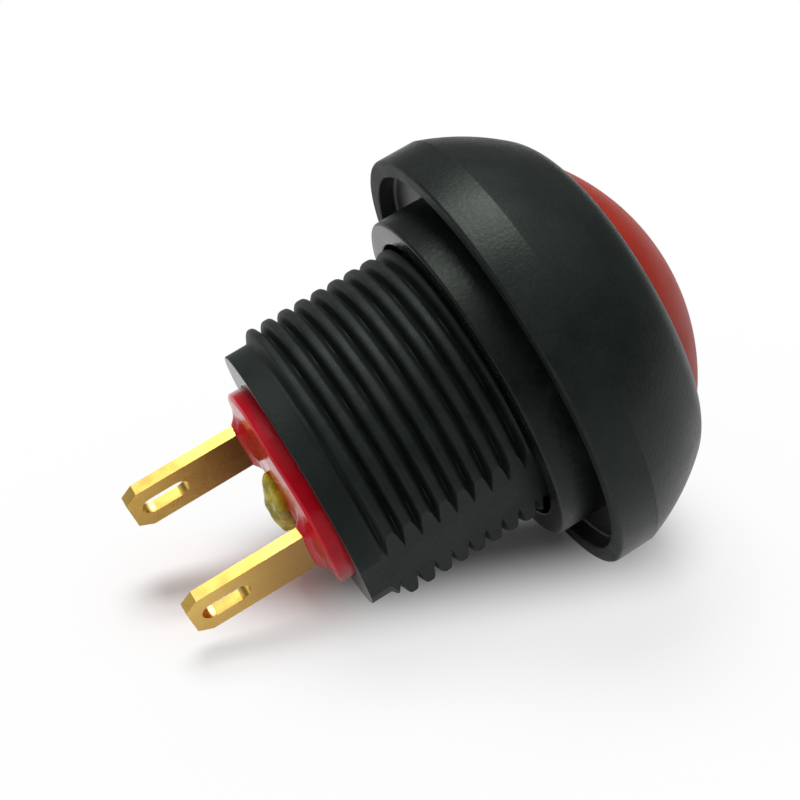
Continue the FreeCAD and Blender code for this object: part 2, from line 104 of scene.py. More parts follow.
# Barrel of the housing
ROOT_RADIUS = 5.48
ROOT_MARGIN = 0.01
THREAD_DEPTH = 0.44
THREAD_PITCH = 0.75
THREAD_TOP = -1.15
THREAD_END = -7.88
TOP_RUNOUT = 0.12
END_RUNOUT = 0.45
ROWS_PER_PITCH = 15
CREST_FULLNESS = 2.6
CREST_WEAR_AND_HIGHLIGHT_POWER = 6
FIRST_CREST = -2.19
FIRST_CREST_ANGLE = math.radians(212)
BARREL_FLAT = 5.38

# Inside of the housing
END_BORE = 4.2
CAVITY_RADIUS = 4.0
CEILING = -1.6
POCKET_RADIUS = 4.7
POCKET_FLOOR = RETURN_LOW.z
GUIDE_RADIUS = 3.2
GUIDE_BORE = 1.85
SEAL_RADIUS = 2.8
SEAL_GAP = 0.03
SEAL_FLOOR = SEAL_BOTTOM - SEAL_GAP

# Cap
CAP_CROWN = 2.72
CAP_WALL = 1.2
CAP_SEAT = RETURN_HIGH.z
CAP_CORE = 1.1
CAP_BOSS = 2.3
SPRING_SEAT = 3.2
SOCKET_RADIUS = 1.32
SOCKET_DEPTH = 1.42

# Resin: each swell is its height, the number of them round the axis, and where they start
RESIN_SIDE = 0.55
RESIN_SHOULDER_ACROSS = 0.15
RESIN_SHOULDER_ALONG = 0.1
RESIN_SKIN = 0.5
RESIN_SWELLS = ((0.03, 2, 0.6), (0.02, 5, 1.9))
MENISCUS_RISE = 0.32
MENISCUS_REACH = 0.24
MENISCUS_POWER = 1.3

# Dab of lacquer on the resin, between the blades
DAB_PLACE = (0.1, 0.45)
DAB_LIFT = 0.05
DAB_LEAN = 0.1
DAB_HALF_LENGTH = 1.85
DAB_HALF_WIDTH = 0.65
DAB_HALF_HEIGHT = 0.52

# Springs
RETURN_WIRE = 0.45
RETURN_TURNS = 4
CONTACT_WIRE = 0.25
CONTACT_COIL_RADIUS = 1.5
CONTACT_TURNS = 2.5

# Roundings of edges
SHARP = 0.0
CRISP = 0.05
FINE = 0.06
SMALL = 0.1
SOFT = 0.12
FULL = 0.15
BROAD = 0.2

# Fineness of the meshes
SEGMENTS = 240
RESIN_SEGMENTS = 192
RESIN_RINGS = 50
LIP_STEPS = 14
DOME_STEPS = 30
CAP_STEPS = 40
CORNER_STEPS = 4
COIL_STEPS = 48
WIRE_SIDES = 12
DAB_SEGMENTS = 48
DAB_RINGS = 24
BEVEL_STEPS = 3
WELD_REACH = 0.0005
POLE_RADIUS = 1e-6
SHARP_ANGLE = math.radians(40)
LARGE_FACE_WEIGHT = 80


# Profiles

def arc_points(centre, radius, start, end, steps):
    """Corners on a circle about (across, up), from one angle to another, both ends included."""
    corners = []
    for step in range(steps + 1):
        angle = start + (end - start) * step / steps
        corners.append((centre[0] + radius * math.cos(angle), centre[1] + radius * math.sin(angle), SHARP))
    return corners


def crown_radius(half_width, height):
    """Radius of the arc that is so high over so wide a chord."""
    return (half_width**2 + height**2) / (2 * height)


def profile_area(corners):
    """Signed area of a closed profile, which tells the way round it runs."""
    total = 0.0
    for index, corner in enumerate(corners):
        before = corners[index - 1]
        total += before[0] * corner[1] - corner[0] * before[1]
    return total / 2


def soften(corners):
    """Turns corners (across, up, rounding) into points (across, up, wear), with an arc at each rounding."""
    way = math.copysign(1, profile_area(corners))
    points = []
    for index, (across, up, rounding) in enumerate(corners):
        if not rounding:
            points.append((across, up, 0.0))
            continue
        here = Vector((across, up))
        before = Vector(corners[index - 1][:2]) - here
        after = Vector(corners[(index + 1) % len(corners)][:2]) - here
        outward = way * (after.x * before.y - after.y * before.x) > 0
        before.normalize()
        after.normalize()
        half = before.angle(after) / 2
        centre = here + (before + after).normalized() * rounding / math.sin(half)
        start = here + before * rounding / math.tan(half) - centre
        end = here + after * rounding / math.tan(half) - centre
        for step in range(CORNER_STEPS + 1):
            share = step / CORNER_STEPS
            spoke = start.lerp(end, share).normalized() * rounding
            wear_and_highlight = 1 - abs(2 * share - 1) if outward else 0.0
            points.append((centre.x + spoke.x, centre.y + spoke.y, wear_and_highlight))
    return points


# Meshes

def finish_mesh(name, shape):
    """Makes an object of a bmesh that was built in millimetres."""
    bmesh.ops.recalc_face_normals(shape, faces=shape.faces)
    bmesh.ops.scale(shape, vec=(MM, MM, MM), verts=shape.verts)
    mesh = bpy.data.meshes.new(name)
    shape.to_mesh(mesh)
    shape.free()
    mesh.shade_smooth()
    mesh.set_sharp_from_angle(angle=SHARP_ANGLE)
    piece = bpy.data.objects.new(name, mesh)
    bpy.context.collection.objects.link(piece)
    return piece


def even_normals(piece):
    """Lets large faces decide the shading of the small roundings beside them."""
    modifier = piece.modifiers.new("even normals", "WEIGHTED_NORMAL")
    modifier.keep_sharp = True
    modifier.weight = LARGE_FACE_WEIGHT


def soft_edges(piece, width):
    """Breaks the sharp edges of a solid that shows as it is."""
    weld = piece.modifiers.new("weld", "WELD")
    weld.merge_threshold = WELD_REACH * MM
    edges = piece.modifiers.new("soft edges", "BEVEL")
    edges.width = width * MM
    edges.segments = BEVEL_STEPS
    edges.limit_method = "ANGLE"
    edges.angle_limit = SHARP_ANGLE
    even_normals(piece)


def join_rings(shape, rings, closed):
    """Fills the bands between rings of vertices, where a ring of one vertex is a pole."""
    count = len(rings)
    for index in range(count if closed else count - 1):
        first = rings[index]
        second = rings[(index + 1) % count]
        around = max(len(first), len(second))
        for step in range(around if around > 1 else 0):
            after = (step + 1) % around
            corners = [first[step % len(first)], first[after % len(first)],
                       second[after % len(second)], second[step % len(second)]]
            shape.faces.new(list(dict.fromkeys(corners)))


def lathe(name, profile, relief=None, closed=True, segments=SEGMENTS):
    """Turns a profile of (across, up, wear) points about the axis; relief may move each point."""
    shape = bmesh.new()
    wear_and_highlight_layer = shape.verts.layers.float.new("wear_and_highlight")
    rings = []
    for across, up, wear_and_highlight in profile:
        ring = []
        for step in range(segments if across > POLE_RADIUS else 1):
            angle = TURN * step / segments
            place = Vector((across * math.cos(angle), across * math.sin(angle), up))
            extra = 0.0
            if relief:
                place, extra = relief(place, angle)
            vertex = shape.verts.new(place)
            vertex[wear_and_highlight_layer] = max(wear_and_highlight, extra)
            ring.append(vertex)
        rings.append(ring)
    join_rings(shape, rings, closed)
    piece = finish_mesh(name, shape)
    even_normals(piece)
    return piece


def coil_wire(name, mean_radius, wire, low, high, turns):
    """Round spring wire on a helix between two seats."""
    shape = bmesh.new()
    steps = int(turns * COIL_STEPS)
    rise = (high - low - wire) / turns
    rings = []
    for step in range(steps + 1):
        turned = turns * step / steps
        out = Vector((math.cos(TURN * turned), math.sin(TURN * turned), 0))
        along = Vector((-out.y * TURN * mean_radius, out.x * TURN * mean_radius, rise)).normalized()
        across = along.cross(out)
        centre = out * mean_radius + Vector((0, 0, low + wire / 2 + rise * turned))
        ring = []
        for side in range(WIRE_SIDES):
            angle = TURN * side / WIRE_SIDES
            spoke = out * math.cos(angle) + across * math.sin(angle)
            ring.append(shape.verts.new(centre + spoke * wire / 2))
        rings.append(ring)
    join_rings(shape, rings, closed=False)
    shape.faces.new(rings[0])
    shape.faces.new(rings[-1])
    return finish_mesh(name, shape)


def smooth_step(share):
    share = min(max(share, 0.0), 1.0)
    return share * share * (3 - 2 * share)


# Housing

def head_outline():
    """Corners of the lip, dome and skirt of the head, from the well's edge down to the skirt's top."""
    skirt_top = HEAD_RADIUS - SKIRT_DRAFT
    dome_radius = crown_radius(skirt_top, DOME_CROWN)
    dome_centre = SKIRT_HEIGHT + DOME_CROWN - dome_radius
    lip_edge = dome_centre + math.sqrt(dome_radius**2 - OPENING_RADIUS**2) - LIP_DROP
    rise = lip_edge - dome_centre
    reach = math.hypot(OPENING_RADIUS, rise)
    inner = dome_radius - LIP_ROUND
    lean = math.acos((inner**2 + reach**2 - LIP_ROUND**2) / (2 * inner * reach))
    join_angle = math.atan2(rise, OPENING_RADIUS) - lean
    lip_centre = (inner * math.cos(join_angle), dome_centre + inner * math.sin(join_angle))
    lip_angle = math.atan2(lip_edge - lip_centre[1], OPENING_RADIUS - lip_centre[0])
    skirt_angle = math.atan2(SKIRT_HEIGHT - dome_centre, skirt_top)
    lip = arc_points(lip_centre, LIP_ROUND, lip_angle, join_angle, LIP_STEPS)
    dome = arc_points((0, dome_centre), dome_radius, join_angle, skirt_angle, DOME_STEPS)
    return lip + dome[1:-1] + [(skirt_top, SKIRT_HEIGHT, CRISP)]


def thread_rows():
    """Corners down the barrel's root, at the heights where the thread is drawn."""
    rows = round((THREAD_TOP - THREAD_END) / THREAD_PITCH * ROWS_PER_PITCH)
    step = (THREAD_END - THREAD_TOP) / rows
    return [(ROOT_RADIUS, THREAD_TOP + step * row, SHARP) for row in range(rows + 1)]


def thread_relief(place, angle):
    """Lifts the barrel's wall into a right-hand thread with full round crests."""
    radius = math.hypot(place.x, place.y)
    if radius < ROOT_RADIUS - ROOT_MARGIN or not THREAD_END < place.z < THREAD_TOP:
        return place, 0.0
    turned = (place.z - FIRST_CREST) / THREAD_PITCH - (angle - FIRST_CREST_ANGLE) / TURN
    wave = 0.5 + 0.5 * math.cos(TURN * turned)
    crest = 1 - (1 - wave) ** CREST_FULLNESS
    crest *= smooth_step((THREAD_TOP - place.z) / TOP_RUNOUT)
    crest *= smooth_step((place.z - THREAD_END) / END_RUNOUT)
    stretch = 1 + THREAD_DEPTH * crest / radius
    # The crest's value marks both rubbed wear and a painted highlight on the thread crests.
    return Vector((place.x * stretch, place.y * stretch, place.z)), crest**CREST_WEAR_AND_HIGHLIGHT_POWER


def cut_flat(piece):
    """Cuts the flat along the barrel, through its thread."""
    half_chord = math.sqrt(GASKET_BOSS**2 - BARREL_FLAT**2)
    past_end = 2 * BARREL_END
    low = Vector((BARREL_FLAT, -half_chord, past_end))
    high = Vector((GASKET_BOSS, half_chord, GASKET_BOSS_END))
    place = Matrix.Translation((low + high) / 2) @ Matrix.Diagonal((*(high - low), 1))
    shape = bmesh.new()
    bmesh.ops.create_cube(shape, size=1.0, matrix=place)
    cutter = finish_mesh("flat_cutter", shape)
    cut = piece.modifiers.new("barrel flat", "BOOLEAN")
    cut.operation = "DIFFERENCE"
    cut.object = cutter
    bpy.context.view_layer.objects.active = piece
    bpy.ops.object.modifier_move_to_index(modifier=cut.name, index=0)
    bpy.ops.object.modifier_apply(modifier=cut.name)
    bpy.data.objects.remove(cutter)
    piece.data.set_sharp_from_angle(angle=SHARP_ANGLE)


def make_housing():
    corners = [
        (GUIDE_BORE, CEILING, SMALL),
        (GUIDE_BORE, SEAL_FLOOR, SHARP),
        (SEAL_RADIUS, SEAL_FLOOR, SHARP),
        (SEAL_RADIUS, GUIDE_TOP, FINE),
        (GUIDE_RADIUS, GUIDE_TOP, SOFT),
        (GUIDE_RADIUS, POCKET_FLOOR, SOFT),
        (POCKET_RADIUS, POCKET_FLOOR, SOFT),
        (POCKET_RADIUS, WELL_FLOOR, FULL),
        (OPENING_RADIUS, WELL_FLOOR, BROAD),
        *head_outline(),
        (HEAD_RADIUS, PANEL_SEAT, SOFT),
        (GROOVE_RADIUS, PANEL_SEAT, FINE),
        (GROOVE_RADIUS, GROOVE_DEPTH, FULL),
        (GASKET_BOSS, GROOVE_DEPTH, SHARP),
        (GASKET_BOSS, GASKET_BOSS_END, FINE),
        (ROOT_RADIUS, GASKET_BOSS_END, FINE),
        *thread_rows(),
        (ROOT_RADIUS, BARREL_END, CRISP),
        (END_BORE, BARREL_END, CRISP),
        (END_BORE, BASE_TOP, SHARP),
        (CAVITY_RADIUS, BASE_TOP, SMALL),
        (CAVITY_RADIUS, CEILING, BROAD),
    ]
    piece = lathe("moulded_housing", soften(corners), thread_relief)
    cut_flat(piece)
    return piece


# Other pieces that stand for a solid

def make_gasket():
    return lathe("rubber_gasket", soften([
        (GASKET_BORE, GASKET_LOW.z, FINE),
        (GASKET_RADIUS, GASKET_LOW.z, SOFT),
        (GASKET_RADIUS, GASKET_HIGH.z, SMALL),
        (GASKET_BORE, GASKET_HIGH.z, FINE),
    ]))


def make_cap():
    edge = CAP_TOP - CAP_CROWN
    dome_radius = crown_radius(CAP_RADIUS, CAP_CROWN)
    centre = CAP_TOP - dome_radius
    edge_angle = math.atan2(edge - centre, CAP_RADIUS)
    dome = arc_points((0, centre), dome_radius, edge_angle, math.pi / 2, CAP_STEPS)
    inside = CAP_RADIUS - CAP_WALL
    return lathe("domed_cap", soften([
        (0, CAP_SEAT + SOCKET_DEPTH, SHARP),
        (SOCKET_RADIUS, CAP_SEAT + SOCKET_DEPTH, SHARP),
        (SOCKET_RADIUS, CAP_SEAT, SMALL),
        (CAP_BOSS, CAP_SEAT, SMALL),
        (CAP_BOSS, CAP_SEAT + CAP_CORE, FULL),
        (SPRING_SEAT, CAP_SEAT + CAP_CORE, FULL),
        (SPRING_SEAT, CAP_SEAT, SMALL),
        (inside, CAP_SEAT, FULL),
        (inside, CAP_BOTTOM, FULL),
        (CAP_RADIUS, CAP_BOTTOM, BROAD),
        (CAP_RADIUS, edge, FINE),
        *dome[1:-1],
        (0, CAP_TOP, SHARP),
    ]), closed=False)


def resin_relief(place, angle):
    """Lifts the resin where it wets the two blades, and makes its skin a little uneven."""
    if place.z > BARREL_END:
        return place, 0.0
    away_x = max(abs(abs(place.x) - BLADE_PLACE) - BLADE_HALF_THICK, 0)
    away_y = max(abs(place.y) - BLADE_HALF_WIDTH, 0)
    nearest = math.hypot(away_x, away_y)
    rise = MENISCUS_RISE * math.exp(-((nearest / MENISCUS_REACH) ** MENISCUS_POWER))
    sway = sum(height * math.sin(number * angle + start) for height, number, start in RESIN_SWELLS)
    depth = smooth_step((BARREL_END - place.z) / RESIN_SKIN)
    return Vector((place.x, place.y, place.z - (rise + sway) * depth)), 0.0


def make_resin():
    side_end = BARREL_END - RESIN_SIDE
    flat = RESIN_RADIUS - RESIN_SHOULDER_ACROSS
    crown_edge = side_end - RESIN_SHOULDER_ALONG
    radius = crown_radius(flat, crown_edge - RESIN_END)
    crown = []
    for ring in range(1, RESIN_RINGS):
        across = flat * ring / RESIN_RINGS
        fall = radius - math.sqrt(radius**2 - across**2)
        crown.append((across, RESIN_END + fall, SHARP))
    return lathe("cast_resin", soften([
        (0, RESIN_END, SHARP),
        *crown,
        (flat, crown_edge, SOFT),
        (RESIN_RADIUS, side_end, FINE),
        (RESIN_RADIUS, BARREL_END, SHARP),
        (RESIN_RADIUS, RESIN_TOP, SHARP),
        (0, RESIN_TOP, SHARP),
    ]), resin_relief, closed=False, segments=RESIN_SEGMENTS)


def make_return_spring():
    mean_radius = (GUIDE_RADIUS + POCKET_RADIUS) / 2
    return coil_wire("return_coil", mean_radius, RETURN_WIRE, RETURN_LOW.z, RETURN_HIGH.z, RETURN_TURNS)


def make_contact_spring():
    return coil_wire("contact_coil", CONTACT_COIL_RADIUS, CONTACT_WIRE,
                     DISC_SPRING_LOW.z, DISC_SPRING_HIGH.z, CONTACT_TURNS)


# Shader tools

NUMBER = "NodeSocketFloat"
COLOUR = "NodeSocketColor"
BLACK = (0, 0, 0, 1)
GREY = (0.5, 0.5, 0.5, 1)
WHITE = (1, 1, 1, 1)


def find_socket(sockets, name):
    """The socket with that identifier, or else with that name, where _ stands for a space."""
    for socket in sockets:
        if socket.identifier == name:
            return socket
    return sockets[name.replace("_", " ")]


def feed(tree, socket, value):
    """Links a socket from another one, or sets its plain number or colour."""
    if isinstance(value, bpy.types.NodeSocket):
        tree.links.new(value, socket)
    else:
        socket.default_value = value


def add_node(tree, kind, settings=(), **values):
    """Adds a node with its settings; the values feed the sockets of those names."""
    node = tree.nodes.new(kind)
    for field, value in dict(settings).items():
        setattr(node, field, value)
    for name, value in values.items():
        feed(tree, find_socket(node.inputs, name), value)
    return node


def math_node(tree, operation, first, second=0.0, clamp=False):
    node = add_node(tree, "ShaderNodeMath", {"operation": operation, "use_clamp": clamp})
    feed(tree, node.inputs[0], first)
    feed(tree, node.inputs[1], second)
    return node.outputs[0]


def vector_node(tree, operation, first, second=(0, 0, 0)):
    node = add_node(tree, "ShaderNodeVectorMath", {"operation": operation})
    feed(tree, node.inputs[0], first)
    feed(tree, node.inputs[1], second)
    return node.outputs


def mix_colour(tree, share, first, second):
    node = add_node(tree, "ShaderNodeMix", {"data_type": "RGBA"},
                    Factor_Float=share, A_Color=first, B_Color=second)
    return find_socket(node.outputs, "Result_Color")


def mix_value(tree, share, first, second):
    node = add_node(tree, "ShaderNodeMix", Factor_Float=share, A_Float=first, B_Float=second)
    return find_socket(node.outputs, "Result_Float")


def mix_shader(tree, share, first, second):
    node = add_node(tree, "ShaderNodeMixShader")
    for socket, source in zip(node.inputs, (share, first, second)):
        tree.links.new(source, socket)
    return node.outputs[0]


def spread(tree, value, low, high, new_low=0.0, new_high=1.0):
    """Maps one stretch of values smoothly to another, and holds its ends beyond."""
    node = add_node(tree, "ShaderNodeMapRange", {"clamp": True, "interpolation_type": "SMOOTHSTEP"},
                    Value=value, From_Min=low, From_Max=high, To_Min=new_low, To_Max=new_high)
    return node.outputs["Result"]


def between(tree, mask, low, high):
    """A value that goes from low to high as a mask goes from 0 to 1."""
    return spread(tree, mask, 0.0, 1.0, low, high)


def coordinate(tree, kind):
    """X, Y and Z of the Object or Normal coordinates."""
    place = add_node(tree, "ShaderNodeTexCoord").outputs[kind]
    return add_node(tree, "ShaderNodeSeparateXYZ", Vector=place).outputs


def noise(tree, scale, detail, roughness=0.55, vector=None):
    if vector is None:
        vector = add_node(tree, "ShaderNodeTexCoord").outputs["Object"]
    node = add_node(tree, "ShaderNodeTexNoise",
                    Vector=vector, Scale=scale, Detail=detail, Roughness=roughness)
    return node.outputs["Fac"]


def bump(tree, height, depth):
    node = add_node(tree, "ShaderNodeBump", Strength=1.0, Distance=depth * MM, Height=height)
    return node.outputs["Normal"]


def rays(tree, *kinds):
    """1 for light paths of any of these kinds."""
    path = add_node(tree, "ShaderNodeLightPath").outputs
    share = path[kinds[0]]
    for kind in kinds[1:]:
        share = math_node(tree, "MAXIMUM", share, path[kind])
    return share


# Effects that several finishes use

def new_group(name, inputs, outputs):
    """An empty node group; gives its tree, its input sockets and its output sockets."""
    tree = bpy.data.node_groups.new(name, "ShaderNodeTree")
    for label, kind, value in inputs:
        socket = tree.interface.new_socket(label, in_out="INPUT", socket_type=kind)
        socket.default_value = value
    for label, kind in outputs:
        tree.interface.new_socket(label, in_out="OUTPUT", socket_type=kind)
    entry = tree.nodes.new("NodeGroupInput")
    leave = tree.nodes.new("NodeGroupOutput")
    return tree, entry.outputs, leave.inputs


def grain_group():
    """Fine mould texture over a slow unevenness."""
    tree, entry, leave = new_group(
        "moulded grain",
        [("Grain size", NUMBER, 6000.0), ("Flow size", NUMBER, 400.0), ("Flow share", NUMBER, 0.4)],
        [("Height", NUMBER), ("Unevenness", NUMBER)],
    )
    fine = noise(tree, entry["Grain size"], detail=4.0)
    flow = noise(tree, entry["Flow size"], detail=2.0)
    lifted = math_node(tree, "MULTIPLY", flow, entry["Flow share"])
    tree.links.new(math_node(tree, "ADD", fine, lifted), leave["Height"])
    both = math_node(tree, "ADD", fine, flow)
    tree.links.new(spread(tree, both, low=0.7, high=1.3), leave["Unevenness"])
    return tree


def rub_and_highlight_group():
    """Paler, broken streaks on edges and thread crests: wear where hands and panels rub them, and on the
    black moulding also a painted highlight.
    """
    tree, entry, leave = new_group(
        "edge rub and highlight",
        [("Surface", COLOUR, BLACK), ("Rubbed", COLOUR, WHITE), ("Amount", NUMBER, 0.5),
         ("Break size", NUMBER, 900.0)],
        [("Colour", COLOUR), ("Mask", NUMBER)],
    )
    wear_and_highlight = add_node(tree, "ShaderNodeAttribute", {"attribute_name": "wear_and_highlight"}).outputs["Fac"]
    streaks = noise(tree, entry["Break size"], detail=5.0, roughness=0.65)
    broken = math_node(tree, "MULTIPLY", wear_and_highlight, spread(tree, streaks, low=0.35, high=0.7))
    mask = math_node(tree, "MULTIPLY", broken, entry["Amount"], clamp=True)
    tree.links.new(mask, leave["Mask"])
    tree.links.new(mix_colour(tree, mask, entry["Surface"], entry["Rubbed"]), leave["Colour"])
    return tree


def dust_group():
    """A thin dusty film in soft patches, with a few specks."""
    tree, entry, leave = new_group(
        "dust film",
        [("Surface", COLOUR, BLACK), ("Dust", COLOUR, GREY), ("Amount", NUMBER, 0.1),
         ("Patch size", NUMBER, 350.0), ("Speck size", NUMBER, 5200.0)],
        [("Colour", COLOUR), ("Mask", NUMBER)],
    )
    cloud = noise(tree, entry["Patch size"], detail=5.0, roughness=0.6)
    grit = noise(tree, entry["Speck size"], detail=1.0)
    patches = spread(tree, cloud, low=0.42, high=0.72)
    specks = spread(tree, grit, low=0.72, high=0.78)
    film = math_node(tree, "ADD", patches, specks, clamp=True)
    mask = math_node(tree, "MULTIPLY", film, entry["Amount"], clamp=True)
    tree.links.new(mask, leave["Mask"])
    tree.links.new(mix_colour(tree, mask, entry["Surface"], entry["Dust"]), leave["Colour"])
    return tree


def drawn_group():
    """Fine lines along the axis, as rolling and stamping leave on sheet metal."""
    tree, entry, leave = new_group(
        "drawn lines",
        [("Line size", NUMBER, 9000.0), ("Length ratio", NUMBER, 0.03)],
        [("Height", NUMBER), ("Mask", NUMBER)],
    )
    place = add_node(tree, "ShaderNodeTexCoord").outputs["Object"]
    stretch = add_node(tree, "ShaderNodeCombineXYZ", X=1.0, Y=1.0, Z=entry["Length ratio"]).outputs[0]
    drawn = vector_node(tree, "MULTIPLY", place, stretch)[0]
    lines = noise(tree, entry["Line size"], detail=2.0, roughness=0.5, vector=drawn)
    tree.links.new(lines, leave["Height"])
    tree.links.new(spread(tree, lines, low=0.45, high=0.75), leave["Mask"])
    return tree


GRAIN = grain_group()
RUB_AND_HIGHLIGHT = rub_and_highlight_group()
DUST = dust_group()
DRAWN = drawn_group()


# Parts of a finish

SHEEN = (0.86, 1.0, 0.88, 1)
BELOW_BLEND = 0.1
FACE_START = -0.9
FACE_FULL = -0.98
BARREL_FACE_REACH = 1.0
GASKET_FACE_REACH = 0.5


def place_group(tree, group, **values):
    return add_node(tree, "ShaderNodeGroup", {"node_tree": group}, **values).outputs


def new_finish(name, **plain):
    """A material with one Principled shader; plain numbers go straight to its sockets."""
    material = bpy.data.materials.new(name)
    material.use_nodes = True
    tree = material.node_tree
    shader = tree.nodes["Principled BSDF"].inputs
    for socket, value in plain.items():
        find_socket(shader, socket).default_value = value
    return material, tree, shader


def cover(tree, shader, colour, roughness, normal):
    """Links what varies over a surface to its shader."""
    tree.links.new(colour, shader["Base Color"])
    tree.links.new(roughness, shader["Roughness"])
    tree.links.new(normal, shader["Normal"])


def below(tree, height):
    """Mask of what lies below a height on the axis."""
    along = coordinate(tree, "Object")["Z"]
    return spread(tree, along, height * MM, (height - BELOW_BLEND) * MM)


def end_face(tree, height):
    """Mask of the flat faces that look down the axis, below a height."""
    facing = coordinate(tree, "Normal")["Z"]
    return math_node(tree, "MULTIPLY", spread(tree, facing, FACE_START, FACE_FULL), below(tree, height))


# Finishes

def black_moulding():
    """Black plastic with a fine texture and paler edges and thread crests, partly rubbed wear and partly
    painted highlight; duller on the barrel and smooth at its end.
    """
    material, tree, shader = new_finish("black_moulding", IOR=1.46, Specular_IOR_Level=0.19,
                                        Specular_Tint=SHEEN)
    deep = (0.0070, 0.0102, 0.0094, 1)
    pale = (0.0108, 0.0148, 0.0136, 1)
    # The worn colour on edges and thread crests is partly rubbed wear and partly painted highlight.
    worn = (0.05, 0.055, 0.05, 1)
    dust = (0.12, 0.125, 0.115, 1)
    end_roughness = 0.22
    grain = place_group(tree, GRAIN, Grain_size=7000.0, Flow_size=500.0, Flow_share=0.5)
    body = mix_colour(tree, grain["Unevenness"], deep, pale)
    rubbed = place_group(tree, RUB_AND_HIGHLIGHT, Surface=body, Rubbed=worn, Amount=0.2)
    dusty = place_group(tree, DUST, Surface=rubbed["Colour"], Dust=dust, Amount=0.04)
    head = between(tree, grain["Unevenness"], low=0.32, high=0.40)
    barrel = between(tree, grain["Unevenness"], low=0.52, high=0.62)
    dull = mix_value(tree, below(tree, GASKET_BOSS_END), head, barrel)
    roughness = mix_value(tree, end_face(tree, BARREL_END + BARREL_FACE_REACH), dull, end_roughness)
    cover(tree, shader, dusty["Colour"], roughness, bump(tree, grain["Height"], depth=0.012))
    return material


def black_rubber():
    """Soft dull rubber with a bloom of dust, smoother on its lower face."""
    material, tree, shader = new_finish("black_rubber", IOR=1.5, Specular_IOR_Level=0.18,
                                        Specular_Tint=SHEEN)
    deep = (0.006, 0.0075, 0.0072, 1)
    pale = (0.010, 0.012, 0.0115, 1)
    dust = (0.12, 0.12, 0.11, 1)
    face_roughness = 0.24
    grain = place_group(tree, GRAIN, Grain_size=5000.0, Flow_size=700.0, Flow_share=0.8)
    body = mix_colour(tree, grain["Unevenness"], deep, pale)
    dusty = place_group(tree, DUST, Surface=body, Dust=dust, Amount=0.06, Patch_size=600.0)
    dull = between(tree, grain["Unevenness"], low=0.34, high=0.43)
    roughness = mix_value(tree, end_face(tree, GASKET_LOW.z + GASKET_FACE_REACH), dull, face_roughness)
    cover(tree, shader, dusty["Colour"], roughness, bump(tree, grain["Height"], depth=0.015))
    return material


def red_cap():
    """Satin red plastic with faint handling marks."""
    material, tree, shader = new_finish("red_cap", IOR=1.5, Specular_IOR_Level=0.07)
    deep = (0.32, 0.019, 0.008, 1)
    pale = (0.35, 0.024, 0.010, 1)
    worn = (0.45, 0.12, 0.09, 1)
    dust = (0.5, 0.3, 0.25, 1)
    dust_amount = 0.03
    grain = place_group(tree, GRAIN, Grain_size=2500.0, Flow_size=300.0, Flow_share=1.5)
    body = mix_colour(tree, grain["Unevenness"], deep, pale)
    rubbed = place_group(tree, RUB_AND_HIGHLIGHT, Surface=body, Rubbed=worn, Amount=0.4)
    dusty = place_group(tree, DUST, Surface=rubbed["Colour"], Dust=dust, Amount=dust_amount)
    roughness = spread(tree, dusty["Mask"], 0.0, dust_amount, new_low=0.40, new_high=0.48)
    cover(tree, shader, dusty["Colour"], roughness, bump(tree, grain["Height"], depth=0.004))
    return material


def red_resin():
    """Wet-looking red casting resin, with slow ripples in its skin."""
    material, tree, shader = new_finish("red_resin", IOR=1.5, Specular_IOR_Level=0.15)
    deep = (0.50, 0.0, 0.008, 1)
    pale = (0.62, 0.001, 0.016, 1)
    grain = place_group(tree, GRAIN, Grain_size=1500.0, Flow_size=500.0, Flow_share=1.5)
    body = mix_colour(tree, grain["Unevenness"], deep, pale)
    roughness = between(tree, grain["Unevenness"], low=0.10, high=0.18)
    cover(tree, shader, body, roughness, bump(tree, grain["Height"], depth=0.02))
    return material


def gilt_brass():
    """Thin gold flash over rolled brass sheet, with painted shade: its broad faces darken to brown towards
    the resin.
    """
    material, tree, shader = new_finish("gilt_brass", Metallic=1.0)
    deep = (0.73, 0.47, 0.11, 1)
    bright = (0.79, 0.53, 0.135, 1)
    brown = (0.28, 0.13, 0.03, 1)
    shade_start = LUG_LOW.z + 0.5
    lines = place_group(tree, DRAWN)
    grain = place_group(tree, GRAIN, Grain_size=1800.0, Flow_size=450.0, Flow_share=1.0)
    body = mix_colour(tree, grain["Unevenness"], deep, bright)
    # Painted shade: the broad faces turn brown, more so towards the resin, where they would reflect the
    # shadowed table and the resin.
    facing = math_node(tree, "ABSOLUTE", coordinate(tree, "Normal")["X"])
    broad = spread(tree, facing, low=0.8, high=0.95)
    along = coordinate(tree, "Object")["Z"]
    shade_towards_resin = spread(tree, along, shade_start * MM, RESIN_END * MM, new_low=0.1, new_high=0.85)
    shaded_gilt = mix_colour(tree, math_node(tree, "MULTIPLY", broad, shade_towards_resin), body, brown)
    roughness = between(tree, grain["Unevenness"], low=0.24, high=0.29)
    cover(tree, shader, shaded_gilt, roughness, bump(tree, lines["Height"], depth=0.0015))
    return material


def olive_lacquer():
    """Dab of yellow-green lacquer, pooled and glossy."""
    material, tree, shader = new_finish("olive_lacquer", IOR=1.5)
    deep = (0.33, 0.31, 0.012, 1)
    pale = (0.74, 0.62, 0.03, 1)
    grain = place_group(tree, GRAIN, Grain_size=2500.0, Flow_size=900.0, Flow_share=1.0)
    body = mix_colour(tree, grain["Unevenness"], deep, pale)
    roughness = between(tree, grain["Unevenness"], low=0.2, high=0.35)
    cover(tree, shader, body, roughness, bump(tree, grain["Height"], depth=0.03))
    return material


